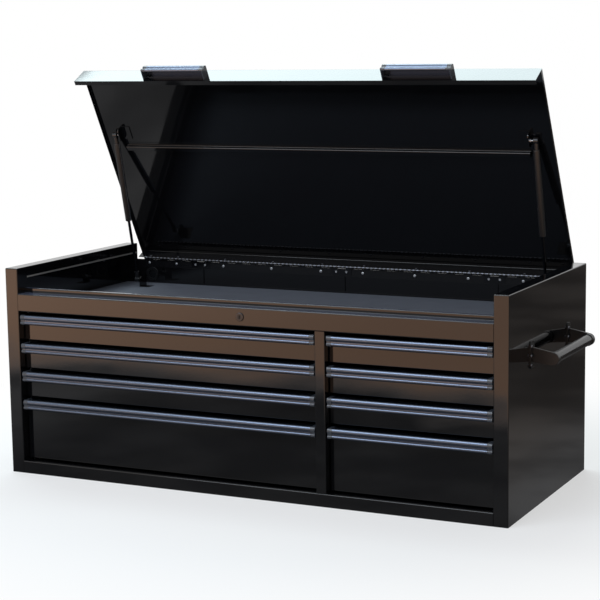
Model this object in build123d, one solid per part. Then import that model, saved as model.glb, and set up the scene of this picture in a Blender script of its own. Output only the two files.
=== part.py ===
"""Wide tool chest with a lift-up lid over a top till, eight drawers in two banks, and a handle on each end.

Millimetres. X runs across the chest, Y from the front to the back, Z up. The origin is the centre of the
footprint, on the surface that the chest stands on. The lid is drawn shut and then swung open.
"""

import os
from math import atan2, cos, degrees, hypot, radians, sin

from build123d import *

# Openings of the front, from left to right and from bottom to top
LEFT_BANK_WIDTH = 879.7
RIGHT_BANK_WIDTH = 439.0
POST_WIDTH = 38.0
CENTRE_POST_WIDTH = 27.3
BOTTOM_RAIL_HEIGHT = 33.5
DEEP_DRAWER_PITCH = 177.9
SHALLOW_DRAWER_PITCH = 77.7
SHALLOW_DRAWERS = 3
TOP_RAIL_HEIGHT = 47.0
LID_SEAT_GAP = 8.5
LID_FRONT_DEPTH = 60.0
CABINET_DEPTH = 620.0

# Sheet steel of the cabinet and the lid
SHEET = 1.2
BEND = 1.2
POST_RETURN = 46.0
POST_HOOK = 12.0
TOP_LIP = 25.0
PAN_FLANGE = 20.0
LEDGE_DEPTH = 36.0
RISER_HEIGHT = 12.5
HEM_WIDTH = 10.0
RAIL_FLANGE = 30.0
SILL_LIP = 12.0
UPRIGHT_WIDTH = 40.0
REAR_UPRIGHT_GAP = 30.0
MIDDLE_UPRIGHT_Y = 30.0

# Top till
TRAY_DROP = 50.5
TRAY_FLANGE = 8.0
LINER = 3.0
LINER_GAP = 1.0
SOFT_GAP = 0.3

# Lid and piano hinge
LID_SIDE_GAP = 1.5
LID_SIDE_LIP = 11.0
LID_FRONT_LIP = 12.5
LID_OPEN_ANGLE = 61.5
HINGE_DROP = 42.0
HINGE_LENGTH = 1290.0
KNUCKLES = 51
KNUCKLE_RADIUS = 4.0
KNUCKLE_GAP = 0.4
HINGE_PIN_RADIUS = 2.4
PIN_FIT = 0.05
LEAF = 1.5
LEAF_WIDTH = 28.0
LEAF_CLEARANCE = 0.6
LID_FLANGE_RISE = 8.0
BACK_PANEL_DROP = 5.0
RIVET_ROWS = (65.0, 222.5, 380.0, 537.5, 630.0)
RIVET_DROP = 15.0
RIVET_RADIUS = 4.0
RIVET_HEAD = 1.8
RIVET_EDGE = 1.3
STIFFENER_SETBACK = 250.0
STIFFENER_CROWN = 14.0
STIFFENER_HEIGHT = 11.0
STIFFENER_FOOT = 9.0
STIFFENER_LENGTH = 1210.0

# Braces on the back panel inside the till
BRACE_SPACING = 456.0
BRACE_WIDTH = 20.0
BRACE_HEAD_WIDTH = 60.0
BRACE_HEAD_HEIGHT = 18.0
BRACE_SCREW_DROP = 9.0
BRACE_SCREW_STEP = 16.0
BRACE_SCREW_RADIUS = 3.2

# Cable grommet in the back panel
GROMMET_X = -621.5
GROMMET_HEIGHT = 470.0
GROMMET_HOLE_RADIUS = 16.5
GROMMET_BORE_RADIUS = 13.0
GROMMET_RIM = 3.5
GROMMET_RIM_THICKNESS = 2.6
GROMMET_FIT = 0.1

# Drawers
DRAWER_SHEET = 1.0
DRAWER_RECESS = 26.0
DRAWER_TOP_GAP = 10.0
DRAWER_GAP = 7.5
DRAWER_SIDE_GAP = 1.5
DRAWER_FOOT_GAP = 4.0
DRAWER_LENGTH = 540.0
FRONT_FOLD = 6.0
FRONT_EDGE = 1.6
TUB_LIFT = 5.0
TUB_SIDE_DROP = 11.0

# Pulls
PULL_DEPTH = 24.5
PULL_HEIGHT = 26.5
PULL_WALL = 2.2
PULL_SIDE_GAP = 3.7
PULL_HOOK = 5.0
PULL_LEG = 14.0
PULL_UPPER_RIDGE = 14.4
PULL_GROOVE = 3.2
PULL_GROOVE_DEPTH = 3.3
PULL_EDGE_SETBACK = 4.5
PULL_CAP_LENGTH = 12.0
PULL_CAP_PLATE = 2.5
LID_PULL_DEPTH = 32.0
LID_PULL_LENGTH = 191.0
LID_PULL_CENTRE = 355.0
LID_PULL_RISE = 6.5

# Ball-bearing slides: three channels, one inside the other
SLIDE_SPACE = 12.7
SLIDE_HEIGHT = 36.0
SLIDE_OUTER_SHEET = 1.2
SLIDE_SHEET = 1.0
SLIDE_RUN = 0.3
SLIDE_EDGE = 0.7
SLIDE_LENGTH = 530.0
SLIDE_FRONT_SETBACK = 8.0
SLIDE_BELOW_FRONT_TOP = 38.0

# Lock in the top rail
LOCK_DROP = 23.5
LOCK_RING_RADIUS = 11.0
LOCK_RING_HEIGHT = 3.0
LOCK_BODY_RADIUS = 9.5
LOCK_BODY_LENGTH = 22.0
LOCK_PLUG_RADIUS = 6.9
LOCK_FIT = 0.1
LOCK_NUT_RADIUS = 12.5
LOCK_NUT_HEIGHT = 5.0
KEY_SLOT_WIDTH = 2.0
KEY_SLOT_HEIGHT = 8.6
KEY_SLOT_DEPTH = 7.0
CAM_THICKNESS = 2.5
CAM_RADIUS = 10.0
CAM_WIDTH = 11.0
CAM_PIN_RADIUS = 2.0
CAM_START_ANGLE = -45.0
CAM_PIN_SLACK = 0.6
BAR_THICKNESS = 2.5
BAR_HEIGHT = 21.0
BAR_END_MARGIN = 14.0

# Gas springs and their brackets
STRUT_INSET = 83.0
STRUT_LID_SETBACK = 204.0
STRUT_LID_DROP = 13.0
STRUT_LOW_SETBACK = 74.0
STRUT_LOW_RISE = 22.0
BALL_RADIUS = 5.0
BALL_FIT = 0.1
BALL_NECK_RADIUS = 2.6
SOCKET_RADIUS = 8.0
SOCKET_WIDTH = 12.0
SOCKET_SHANK = 16.0
SOCKET_SHANK_RADIUS = 6.0
CYLINDER_RADIUS = 9.0
CYLINDER_LENGTH = 234.0
CYLINDER_WALL = 1.4
CYLINDER_END = 8.0
ROD_RADIUS = 4.0
ROD_INSIDE = 26.0
PISTON_LENGTH = 10.0
STUD_REACH = 16.0
STUD_COLLAR_RADIUS = 5.5
STUD_COLLAR = 3.0
BRACKET_SHEET = 2.5
BRACKET_FOOT = 30.0
BRACKET_HALF_WIDTH = 18.0
BRACKET_EDGE = 10.0
LID_BRACKET_REACH = 22.0

# Handles on the end walls
GRIP_FRONT_SETBACK = 169.0
GRIP_SPACING = 297.0
GRIP_HEIGHT = 384.0
GRIP_REACH = 54.0
GRIP_RADIUS = 14.0
GRIP_WALL = 2.0
GRIP_END_CAP = 4.0
ARM_THICKNESS = 7.0
ARM_TOP = 410.0
ARM_BOTTOM = 374.0
ARM_TIP_RADIUS = 16.0
CUP_LENGTH = 18.0
BASE_THICKNESS = 3.0
BASE_WIDTH = 27.0
BASE_OVERHANG = 8.0
BASE_TOP = 425.0
BASE_BOTTOM = 357.0
BASE_CORNER = 8.0
BOLT_SETBACK = 11.0
BOLT_HEIGHTS = (412.0, 389.0, 366.0)
BOLT_HEAD_RADIUS = 5.0
BOLT_HEAD_HEIGHT = 3.2

# Places that follow from the sizes above
CABINET_WIDTH = 2 * POST_WIDTH + LEFT_BANK_WIDTH + CENTRE_POST_WIDTH + RIGHT_BANK_WIDTH
WALL_X = CABINET_WIDTH / 2
FRONT_Y = -CABINET_DEPTH / 2
BACK_Y = CABINET_DEPTH / 2
OPENING_TOP = BOTTOM_RAIL_HEIGHT + DEEP_DRAWER_PITCH + SHALLOW_DRAWERS * SHALLOW_DRAWER_PITCH
LEDGE_Z = OPENING_TOP + TOP_RAIL_HEIGHT
CABINET_HEIGHT = LEDGE_Z + LID_SEAT_GAP + LID_FRONT_DEPTH
LEFT_BANK = (-WALL_X + POST_WIDTH, -WALL_X + POST_WIDTH + LEFT_BANK_WIDTH)
RIGHT_BANK = (LEFT_BANK[1] + CENTRE_POST_WIDTH, WALL_X - POST_WIDTH)
INNER_X = WALL_X - SHEET
BACK_PANEL_Y = BACK_Y - 2 * SHEET
RISER_Y = FRONT_Y + LEDGE_DEPTH
HEM_Y = RISER_Y + HEM_WIDTH
CENTRE_POST_BACK = HEM_Y - SHEET
TRAY_TOP = LEDGE_Z - TRAY_DROP
TRAY_BOTTOM = TRAY_TOP - SHEET
LINER_TOP = TRAY_TOP + LINER
DRAWER_Y = FRONT_Y + DRAWER_RECESS
LID_X = WALL_X - POST_WIDTH - LID_SIDE_GAP
LID_BACK_Y = BACK_Y - SHEET
HINGE_Y = BACK_PANEL_Y - KNUCKLE_RADIUS
HINGE_Z = CABINET_HEIGHT - HINGE_DROP
STRUT_X = WALL_X - STRUT_INSET
OUTER_BEND = BEND + SHEET

os.makedirs("parts", exist_ok=True)


def write(name, *solids):
    """One file for one sub-part, of one solid or of several separate ones."""
    export_step(solids[0] if len(solids) == 1 else Compound(children=list(solids)), f"parts/{name}.step")


def block(x, y, z):
    """A box between two limits along each axis, given in either order."""
    sides = [abs(pair[1] - pair[0]) for pair in (x, y, z)]
    return Pos(*(sum(pair) / 2 for pair in (x, y, z))) * Box(*sides)


STANDING = (Align.CENTER, Align.CENTER, Align.MIN)


def rod(start, end, radius):
    """A round bar between two points."""
    axis = Vector(*end) - Vector(*start)
    return Plane(origin=start, z_dir=axis) * Cylinder(radius, axis.length, align=STANDING)


def beside(points, gap):
    """The line that runs at a steady gap to the left of a line of points, mitred at its corners."""
    steps = [Vector(*b) - Vector(*a) for a, b in zip(points, points[1:])]
    normals = [Vector(-step.Y, step.X) / step.length for step in steps]
    moved = []
    for i, point in enumerate(points):
        before, after = normals[max(i - 1, 0)], normals[min(i, len(normals) - 1)]
        shift = (before + after) * (gap / (1 + before.dot(after)))
        moved.append((point[0] + shift.X, point[1] + shift.Y))
    return moved


def fold(points, thickness, bend, plane, start, end):
    """Folded sheet: its section has the points on its outer face and the sheet to their left, and it runs
    from start to end along the plane's normal."""
    outline = list(points) + beside(points, thickness)[::-1]
    radii = [0.0] * len(outline)
    last = len(points) - 1
    for i in range(1, last):
        into = Vector(*points[i]) - Vector(*points[i - 1])
        out = Vector(*points[i + 1]) - Vector(*points[i])
        turns_left = into.X * out.Y - into.Y * out.X > 0
        radii[i] = bend + thickness if turns_left else bend
        radii[len(outline) - 1 - i] = bend if turns_left else bend + thickness
    face = make_face(FilletPolyline(*outline, radius=radii, close=True))
    placed = plane.offset(start) * face
    return extrude(placed, amount=end - start, dir=plane.z_dir)


def prism(points, plane, start, end):
    """A flat outline carried from start to end along the plane's normal."""
    face = make_face(Polyline(*points, close=True))
    return extrude(plane.offset(start) * face, amount=end - start, dir=plane.z_dir)


def mirrored(solid):
    return mirror(solid, about=Plane.YZ)


ACROSS = Plane.YZ
ALONG = Plane(origin=(0, 0, 0), x_dir=(1, 0, 0), z_dir=(0, -1, 0))


def opened(solid):
    """A piece of the lid, drawn shut, swung to its open place about the hinge."""
    return solid.rotate(Axis((0, HINGE_Y, HINGE_Z), (1, 0, 0)), -LID_OPEN_ANGLE)


# Side panels: wall, front post with its return and hook, back flange, and top flange with its lip
left_side = block((-WALL_X, -WALL_X + POST_WIDTH), (FRONT_Y, BACK_Y), (0, CABINET_HEIGHT))
foot_edges = left_side.faces().sort_by(Axis.Z)[0].edges()
panel_edges = left_side.edges() - foot_edges
left_side = fillet(panel_edges, OUTER_BEND)
left_side -= block(
    (-WALL_X + SHEET, -WALL_X + POST_WIDTH - SHEET),
    (FRONT_Y + SHEET, BACK_Y - SHEET),
    (-SHEET, CABINET_HEIGHT - SHEET),
)
left_side -= block(
    (-WALL_X + POST_WIDTH - 2 * SHEET, -WALL_X + POST_WIDTH + SHEET),
    (FRONT_Y + POST_RETURN, BACK_Y - SHEET),
    (-SHEET, CABINET_HEIGHT - TOP_LIP),
)
left_side += block(
    (-WALL_X + POST_WIDTH - POST_HOOK, -WALL_X + POST_WIDTH),
    (FRONT_Y + POST_RETURN - SHEET, FRONT_Y + POST_RETURN),
    (0, CABINET_HEIGHT - TOP_LIP),
)
write("left_side_panel", left_side)
write("right_side_panel", mirrored(left_side))

# Room that the folded posts take at the front corners of the floors
post_room = block(
    (-WALL_X, -WALL_X + POST_WIDTH), (FRONT_Y, FRONT_Y + POST_RETURN + LINER_GAP), (-SHEET, CABINET_HEIGHT)
)
posts_room = post_room + mirrored(post_room)

# Bottom panel: a pan with its flanges turned up against the walls and the back
pan = block((-INNER_X, INNER_X), (FRONT_Y + SHEET, BACK_PANEL_Y), (0, PAN_FLANGE))
pan_hollow = block(
    (-INNER_X + SHEET, INNER_X - SHEET), (FRONT_Y, BACK_PANEL_Y - SHEET), (SHEET, PAN_FLANGE + SHEET)
)
write("bottom_panel", pan - pan_hollow - posts_room)

# Back panel, with a hole for the cable grommet
back_top = HINGE_Z - BACK_PANEL_DROP
back = block((-INNER_X, INNER_X), (BACK_PANEL_Y, BACK_PANEL_Y + SHEET), (0, back_top))


def grommet_rod(start_y, end_y, radius):
    """A round bar on the grommet's axis."""
    return rod((GROMMET_X, start_y, GROMMET_HEIGHT), (GROMMET_X, end_y, GROMMET_HEIGHT), radius)


write("back_panel", back - grommet_rod(BACK_PANEL_Y - SHEET, BACK_Y, GROMMET_HOLE_RADIUS))

# Grommet: a rim on each face of the panel and a sleeve between them
rim_radius = GROMMET_HOLE_RADIUS + GROMMET_RIM
grommet_front = BACK_PANEL_Y - GROMMET_RIM_THICKNESS
grommet_back = BACK_PANEL_Y + SHEET + GROMMET_RIM_THICKNESS
grommet = grommet_rod(grommet_front, grommet_back, GROMMET_HOLE_RADIUS - GROMMET_FIT)
grommet += grommet_rod(grommet_front, BACK_PANEL_Y, rim_radius)
grommet += grommet_rod(BACK_PANEL_Y + SHEET, grommet_back, rim_radius)
grommet_bore = grommet_rod(grommet_front - SHEET, grommet_back + SHEET, GROMMET_BORE_RADIUS)
write("cable_grommet", grommet - grommet_bore)

# Top rail: face, ledge, riser and hem are one bent sheet; the lock goes through its face
LOCK_Z = LEDGE_Z - LOCK_DROP
top_rail_line = [
    (FRONT_Y + RAIL_FLANGE, OPENING_TOP),
    (FRONT_Y, OPENING_TOP),
    (FRONT_Y, LEDGE_Z),
    (RISER_Y, LEDGE_Z),
    (RISER_Y, LEDGE_Z + RISER_HEIGHT),
    (HEM_Y, LEDGE_Z + RISER_HEIGHT),
    (HEM_Y, TRAY_TOP),
]
top_rail = fold(top_rail_line[::-1], SHEET, BEND, ACROSS, LEFT_BANK[0], RIGHT_BANK[1])


def lock_rod(start_y, end_y, radius):
    """A round bar on the lock's axis."""
    return rod((0, start_y, LOCK_Z), (0, end_y, LOCK_Z), radius)


lock_hole = lock_rod(FRONT_Y - SHEET, FRONT_Y + 2 * SHEET, LOCK_BODY_RADIUS + LOCK_FIT)
write("front_top_rail", top_rail - lock_hole)

# Bottom rail: face with its sill turned back under the drawers
bottom_rail_line = [
    (FRONT_Y, 0),
    (FRONT_Y, BOTTOM_RAIL_HEIGHT),
    (DRAWER_Y, BOTTOM_RAIL_HEIGHT),
    (DRAWER_Y, BOTTOM_RAIL_HEIGHT - SILL_LIP),
]
write(
    "front_bottom_rail",
    fold(bottom_rail_line[::-1], SHEET, BEND, ACROSS, LEFT_BANK[0], RIGHT_BANK[1]),
)

# Centre post between the banks, and the hollow divider wall behind it
post_plan = [
    (LEFT_BANK[1], CENTRE_POST_BACK),
    (LEFT_BANK[1], FRONT_Y),
    (RIGHT_BANK[0], FRONT_Y),
    (RIGHT_BANK[0], CENTRE_POST_BACK),
]
write("centre_post", fold(post_plan, SHEET, BEND, Plane.XY, BOTTOM_RAIL_HEIGHT, OPENING_TOP))
divider_y = (CENTRE_POST_BACK, BACK_PANEL_Y - SHEET)
divider_hollow_x = (LEFT_BANK[1] + SHEET, RIGHT_BANK[0] - SHEET)
divider = block((LEFT_BANK[1], RIGHT_BANK[0]), divider_y, (SHEET, TRAY_BOTTOM))
divider_hollow = block(divider_hollow_x, divider_y, (2 * SHEET, TRAY_BOTTOM - SHEET))
write("centre_divider", divider - divider_hollow)

# Uprights that hold the slides off the outer walls, open towards the wall
front_upright_y = FRONT_Y + POST_RETURN
rear_upright_y = BACK_PANEL_Y - REAR_UPRIGHT_GAP - UPRIGHT_WIDTH
uprights = []
for upright_y in (front_upright_y, MIDDLE_UPRIGHT_Y, rear_upright_y):
    upright_plan = [
        (-INNER_X, upright_y),
        (-WALL_X + POST_WIDTH, upright_y),
        (-WALL_X + POST_WIDTH, upright_y + UPRIGHT_WIDTH),
        (-INNER_X, upright_y + UPRIGHT_WIDTH),
    ]
    upright = fold(upright_plan, SHEET, BEND, Plane.XY, PAN_FLANGE, TRAY_BOTTOM)
    uprights += [upright, mirrored(upright)]
write("slide_uprights", *uprights)

# Floor of the till, with flanges up the walls, and the foam liner on it
tray = block((-INNER_X, INNER_X), (RISER_Y, BACK_PANEL_Y), (TRAY_BOTTOM, TRAY_BOTTOM + TRAY_FLANGE))
tray_hollow = block(
    (-INNER_X + SHEET, INNER_X - SHEET), (RISER_Y - SHEET, BACK_PANEL_Y - SHEET), (TRAY_TOP, CABINET_HEIGHT)
)
centre_post_room = block(
    (LEFT_BANK[1] - LINER_GAP, RIGHT_BANK[0] + LINER_GAP),
    (FRONT_Y, CENTRE_POST_BACK + LINER_GAP),
    (0, CABINET_HEIGHT),
)
write("till_tray", tray - tray_hollow - posts_room - centre_post_room)

strut_low = (BACK_PANEL_Y - STRUT_LOW_SETBACK, TRAY_TOP + STRUT_LOW_RISE)
liner = block(
    (-INNER_X + SHEET + LINER_GAP, INNER_X - SHEET - LINER_GAP),
    (HEM_Y + LINER_GAP, BACK_PANEL_Y - SHEET - LINER_GAP),
    (TRAY_TOP, LINER_TOP),
)
bracket_plate_x = STRUT_X - STUD_REACH
for side in (-1, 1):
    liner -= block(
        (side * (bracket_plate_x + LINER_GAP), side * (bracket_plate_x - BRACKET_FOOT - LINER_GAP)),
        (strut_low[0] - BRACKET_HALF_WIDTH - LINER_GAP, strut_low[0] + BRACKET_HALF_WIDTH + LINER_GAP),
        (TRAY_TOP, CABINET_HEIGHT),
    )
write("till_liner", liner - posts_room)

# Lid: skin, front flange with a return lip, shallow side lips, rear flange down to the hinge
lid_outer = block((-LID_X, LID_X), (FRONT_Y, LID_BACK_Y), (CABINET_HEIGHT - LID_FRONT_DEPTH, CABINET_HEIGHT))
lid_outer = fillet(lid_outer.faces().sort_by(Axis.Z)[-1].edges(), OUTER_BEND)
lid_hollow = block(
    (-LID_X + SHEET, LID_X - SHEET), (FRONT_Y + SHEET, LID_BACK_Y - SHEET), (0, CABINET_HEIGHT - SHEET)
)
lid_hollow = fillet(lid_hollow.faces().sort_by(Axis.Z)[-1].edges(), BEND)
below_side_lips = block(
    (-WALL_X, WALL_X), (FRONT_Y + SHEET, LID_BACK_Y - SHEET), (0, CABINET_HEIGHT - LID_SIDE_LIP)
)
below_rear = block((-WALL_X, WALL_X), (FRONT_Y + SHEET, BACK_Y + SHEET), (0, HINGE_Z + LID_FLANGE_RISE))
lid_foot_z = LEDGE_Z + LID_SEAT_GAP
front_lip = block((-LID_X, LID_X), (FRONT_Y, FRONT_Y + LID_FRONT_LIP), (lid_foot_z, lid_foot_z + SHEET))
front_lip = fillet(front_lip.edges().filter_by(Axis.X).sort_by(Axis.Y)[:1], SHEET / 2)
lid_shell = lid_outer - lid_hollow - below_side_lips - below_rear
lid_shell = lid_shell + front_lip
write("lid_shell", opened(lid_shell))

# Stiffener: a hat channel spot-welded across the inside of the lid
stiffener_y = FRONT_Y + STIFFENER_SETBACK
stiffener_top = CABINET_HEIGHT - SHEET
half_crown = STIFFENER_CROWN / 2
hat_line = [
    (stiffener_y - half_crown - STIFFENER_FOOT, stiffener_top - SHEET),
    (stiffener_y - half_crown, stiffener_top - SHEET),
    (stiffener_y - half_crown, stiffener_top - STIFFENER_HEIGHT),
    (stiffener_y + half_crown, stiffener_top - STIFFENER_HEIGHT),
    (stiffener_y + half_crown, stiffener_top - SHEET),
    (stiffener_y + half_crown + STIFFENER_FOOT, stiffener_top - SHEET),
]
stiffener = fold(hat_line, SHEET, BEND, ACROSS, -STIFFENER_LENGTH / 2, STIFFENER_LENGTH / 2)
write("lid_stiffener", opened(stiffener))


def pull_outline(mount_y, top_z, depth, hooked):
    """Section of a pull: a web that stands forward of the face at mount_y, a nose of two rounded ridges with
    a groove between them, and a leg on the face. A hooked pull also lies over the top edge of its panel."""
    nose_y = mount_y - depth
    edge_y = nose_y + PULL_EDGE_SETBACK
    groove_y = nose_y + PULL_GROOVE_DEPTH
    groove_top = top_z - PULL_UPPER_RIDGE
    groove_bottom = groove_top - PULL_GROOVE
    foot_z = top_z - PULL_HEIGHT
    rear_y = mount_y + PULL_HOOK if hooked else mount_y
    inner_y = edge_y + PULL_WALL
    upper = ThreePointArc((edge_y, top_z), (nose_y, top_z - PULL_UPPER_RIDGE / 2), (groove_y, groove_top))
    lower_middle = (groove_bottom + foot_z) / 2
    lower = ThreePointArc((groove_y, groove_bottom), (nose_y + PULL_WALL / 4, lower_middle), (edge_y, foot_z))
    hook = [(mount_y, top_z - PULL_WALL), (rear_y, top_z - PULL_WALL)] if hooked else []
    back_line = Polyline(
        (edge_y, foot_z),
        (inner_y, foot_z),
        (inner_y, top_z - PULL_WALL),
        (mount_y - PULL_WALL, top_z - PULL_WALL),
        (mount_y - PULL_WALL, top_z - PULL_LEG),
        (mount_y, top_z - PULL_LEG),
        *hook,
        (rear_y, top_z),
        (edge_y, top_z),
    )
    groove = Line((groove_y, groove_top), (groove_y, groove_bottom))
    return make_face([upper, groove, lower, *back_line.edges()])


def pull(x, mount_y, top_z, depth, hooked):
    """An extruded pull between two x limits, with a moulded cap on each end whose outer plate closes it."""
    section = ACROSS * pull_outline(mount_y, top_z, depth, hooked)
    plate_outline = [
        (mount_y, top_z),
        (mount_y - depth + PULL_EDGE_SETBACK, top_z),
        (mount_y - depth + PULL_EDGE_SETBACK, top_z - PULL_HEIGHT),
        (mount_y, top_z - PULL_HEIGHT),
    ]
    pieces = []
    for end, inward in ((x[0], 1), (x[1], -1)):
        cap = extrude(Pos(X=end) * section, amount=inward * PULL_CAP_LENGTH, dir=(1, 0, 0))
        ends = sorted((end, end + inward * PULL_CAP_PLATE))
        pieces.append(cap + prism(plate_outline, ACROSS, *ends))
    bar_start = x[0] + PULL_CAP_LENGTH
    bar = extrude(Pos(X=bar_start) * section, amount=x[1] - PULL_CAP_LENGTH - bar_start, dir=(1, 0, 0))
    return [bar, *pieces]


# Two short pulls on the lid's front flange, just above its lower edge
lid_pull_top = LEDGE_Z + LID_SEAT_GAP + LID_PULL_RISE + PULL_HEIGHT
lid_pull_pieces = []
for side in (-1, 1):
    middle = side * LID_PULL_CENTRE
    limits = (middle - LID_PULL_LENGTH / 2, middle + LID_PULL_LENGTH / 2)
    pieces = pull(limits, FRONT_Y, lid_pull_top, LID_PULL_DEPTH, False)
    lid_pull_pieces += [opened(piece) for piece in pieces]
write("lid_pulls", *lid_pull_pieces)

# Piano hinge: two leaves with knuckles in turn along one pin
knuckle_pitch = HINGE_LENGTH / KNUCKLES
leaf_y = (HINGE_Y + KNUCKLE_RADIUS - LEAF, HINGE_Y + KNUCKLE_RADIUS)
leaf_start = KNUCKLE_RADIUS + LEAF_CLEARANCE


def hinge_rod(left, right, radius):
    """A round bar on the hinge's axis."""
    return rod((left, HINGE_Y, HINGE_Z), (right, HINGE_Y, HINGE_Z), radius)


def leaf(first, upward):
    """One leaf: a strip, with a tab and a rolled knuckle at every other place from the given one."""
    strip_z = (HINGE_Z + upward * leaf_start, HINGE_Z + upward * LEAF_WIDTH)
    solid = block((-HINGE_LENGTH / 2, HINGE_LENGTH / 2), leaf_y, strip_z)
    bore = hinge_rod(-HINGE_LENGTH, HINGE_LENGTH, HINGE_PIN_RADIUS + PIN_FIT)
    for i in range(first, KNUCKLES, 2):
        left = -HINGE_LENGTH / 2 + i * knuckle_pitch + KNUCKLE_GAP / 2
        right = left + knuckle_pitch - KNUCKLE_GAP
        roll = hinge_rod(left, right, KNUCKLE_RADIUS)
        tab = block((left, right), leaf_y, (HINGE_Z, HINGE_Z + upward * leaf_start))
        solid += (roll + tab) - bore
    return solid


def rivet(x, face_y, z):
    """A low rivet head with a rounded rim that stands forward of a face."""
    head = Pos(x, face_y, z) * Rot(X=90) * Cylinder(RIVET_RADIUS, RIVET_HEAD, align=STANDING)
    return fillet(head.edges().filter_by(GeomType.CIRCLE).sort_by(Axis.Y)[:1], RIVET_EDGE)


write("hinge_leaf_cabinet", leaf(0, -1))
write("hinge_leaf_lid", opened(leaf(1, 1)))
pin_end = HINGE_LENGTH / 2 - KNUCKLE_GAP / 2
write("hinge_pin", hinge_rod(-pin_end, pin_end, HINGE_PIN_RADIUS))
rivet_places = [side * x for x in RIVET_ROWS for side in (-1, 1)]
cabinet_rivets = [rivet(x, leaf_y[0], HINGE_Z - RIVET_DROP) for x in rivet_places]
write("hinge_rivets_lid", *(opened(rivet(x, leaf_y[0], HINGE_Z + RIVET_DROP)) for x in rivet_places))

# Braces: a strip up the back of the till with a wide head across the hinge leaf, two screws in each
brace_face = leaf_y[0]
brace_top = HINGE_Z - KNUCKLE_RADIUS - LEAF_CLEARANCE
leaf_foot = HINGE_Z - LEAF_WIDTH
braces, brace_screws = [], []
for brace_x in (-BRACE_SPACING, 0, BRACE_SPACING):
    head = block(
        (brace_x - BRACE_HEAD_WIDTH / 2, brace_x + BRACE_HEAD_WIDTH / 2),
        (brace_face - LEAF, brace_face),
        (brace_top - BRACE_HEAD_HEIGHT, brace_top),
    )
    limits = (brace_x - BRACE_WIDTH / 2, brace_x + BRACE_WIDTH / 2)
    strip = block(limits, (brace_face - LEAF, brace_face), (TRAY_TOP + TRAY_FLANGE, brace_top))
    packing = block(limits, leaf_y, (TRAY_TOP + TRAY_FLANGE, leaf_foot))
    braces.append(head + strip + packing)
    for step in (-1, 1):
        place = Pos(brace_x + step * BRACE_SCREW_STEP, brace_face - LEAF, brace_top - BRACE_SCREW_DROP)
        brace_screws.append(place * Rot(X=90) * Cylinder(BRACE_SCREW_RADIUS, RIVET_HEAD, align=STANDING))
write("back_braces", *braces)
write("back_fasteners", *cabinet_rivets, *brace_screws)

# Slides: channels nested one in the other, all open across X
slide_y = (DRAWER_Y + SLIDE_FRONT_SETBACK, DRAWER_Y + SLIDE_FRONT_SETBACK + SLIDE_LENGTH)
middle_start = SLIDE_OUTER_SHEET + SLIDE_RUN
member_start = middle_start + SLIDE_SHEET + SLIDE_RUN
middle_height = SLIDE_HEIGHT - 2 * (SLIDE_OUTER_SHEET + SLIDE_RUN)
member_height = middle_height - 2 * (SLIDE_SHEET + SLIDE_RUN)


def channel(web_x, edge_x, middle_z, height, sheet):
    """A channel along Y with its web at web_x and the free edges of its flanges at edge_x."""
    inward = 1 if edge_x > web_x else -1
    half = height / 2
    whole = block((web_x, edge_x), slide_y, (middle_z - half, middle_z + half))
    inside_z = (middle_z - half + sheet, middle_z + half - sheet)
    return whole - block((web_x + inward * sheet, edge_x + inward * sheet), slide_y, inside_z)


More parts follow.
